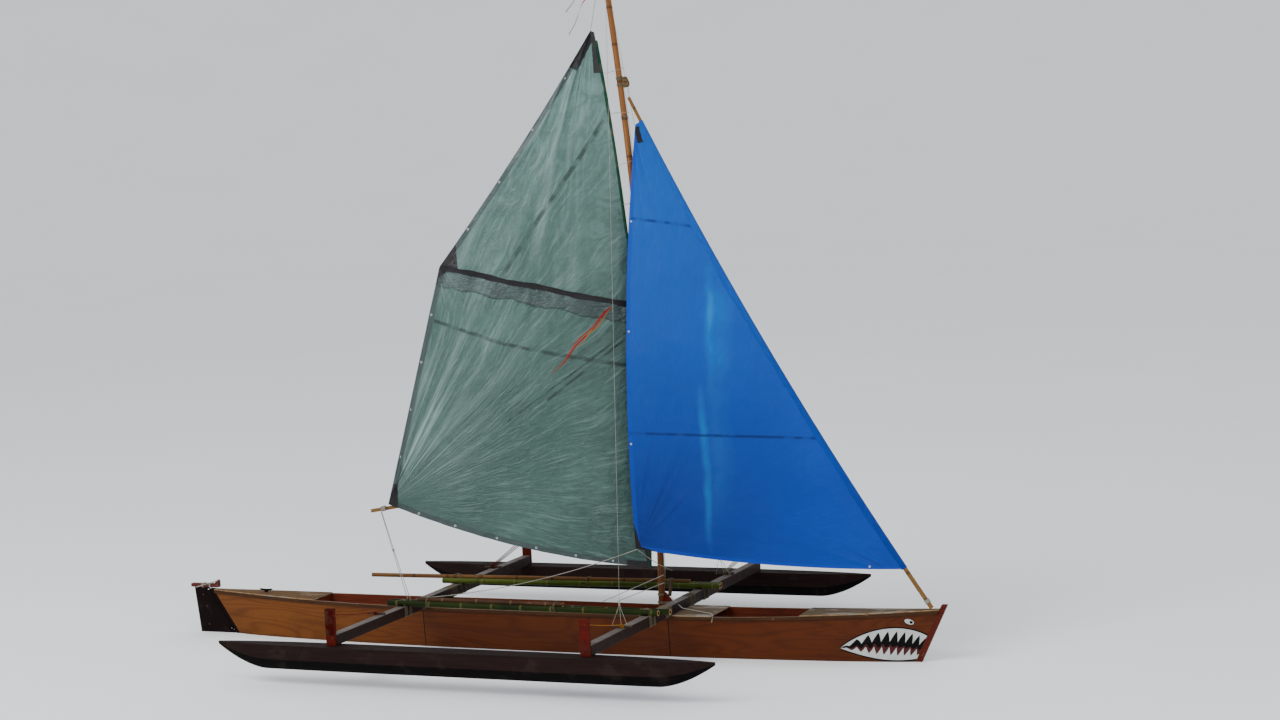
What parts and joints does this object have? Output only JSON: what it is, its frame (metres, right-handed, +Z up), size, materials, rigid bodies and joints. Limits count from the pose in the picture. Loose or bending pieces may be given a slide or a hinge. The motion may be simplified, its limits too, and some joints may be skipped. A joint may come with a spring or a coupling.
{
  "type": "double-outrigger sailing canoe",
  "caption": "Plywood sailing canoe with a float on each side, a mainsail and a jib on a bent bamboo mast, and a hung rudder.",
  "frame": {"origin": "on the waterline, amidships on the hull's centreline", "axes": "+X to the bow, +Y to port, +Z up; the boat is upright and afloat"},
  "size_m": [7.5709, 3.988, 6.521],
  "materials": {
    "ply": "varnished orange-brown plywood",
    "inside": "red-brown paint, worn",
    "deck": "bare weathered plywood",
    "brown": "dark brown gloss paint, black below",
    "rail": "near-black brown paint",
    "red": "red-brown paint",
    "stem": "dark red paint",
    "bamboo": "old orange-brown bamboo",
    "green_bamboo": "green bamboo, peeling",
    "dry_bamboo": "dry tan bamboo",
    "wood": "bare timber",
    "green_cloth": "thin grey-green woven plastic sheet",
    "blue_cloth": "thin blue woven plastic sheet",
    "rope": "white braided rope"
  },
  "bodies": {
    "hull": {"hull_bottom_aft": "ply", "hull_bottom_mid": "ply", "hull_bottom_bow": "ply", "hull_side_port_aft": "ply", "hull_side_port_mid": "ply", "hull_side_port_bow": "ply", "hull_side_starboard_aft": "ply", "hull_side_starboard_mid": "ply", "hull_side_starboard_bow": "ply", "bulkhead_deck_aft": "inside", "bulkhead_aft": "inside", "bulkhead_fore": "inside", "bulkhead_deck_fore": "inside", "seat_aft": "inside", "seat_mid": "inside", "deck_aft": "deck", "deck_mast": "deck", "deck_fore": "deck", "rub_rail_port": "rail", "rub_rail_starboard": "rail", "stem": "stem", "sternpost": "stem", "beam_aft": "brown", "beam_fore": "brown", "float_port": "brown", "float_starboard": "brown", "post_port_aft": "red", "post_port_fore": "red", "post_starboard_aft": "red", "post_starboard_fore": "red", "pole_starboard_outer": "green_bamboo", "pole_starboard_inner": "green_bamboo", "pole_starboard_top": "dry_bamboo", "pole_port_outer": "green_bamboo", "pole_port_inner": "green_bamboo", "pole_port_top": "dry_bamboo", "mast": "bamboo", "mast_step": "wood", "mast_knee": "red", "halyard_block": "wood", "shroud_port": "rope", "shroud_starboard": "rope"},
    "mainsail": {"mainsail": "green_cloth", "main_batten": "wood", "sprit_boom": "wood"},
    "jib": {"jib": "blue_cloth", "jib_spar": "bamboo"},
    "rudder": {"rudder_stock": "rail", "rudder_blade": "brown", "tiller": "red"}
  },
  "joints": [
    {"name": "main_swing", "type": "hinge", "parent": "hull", "child": "mainsail", "pos_m": [1.136, 0, 0.448], "axis": [-0.0446, 0, 0.999], "range_deg": [-80, 40]},
    {"name": "jib_swing", "type": "hinge", "parent": "hull", "child": "jib", "pos_m": [3.573, 0, 0.4664], "axis": [-0.5019, 0, 0.8649], "range_deg": [-5, 30]},
    {"name": "rudder_swing", "type": "hinge", "parent": "hull", "child": "rudder", "pos_m": [-3.5384, 0, 0.21], "axis": [-0.5377, 0, 0.8431], "range_deg": [-40, 40]}
  ]
}
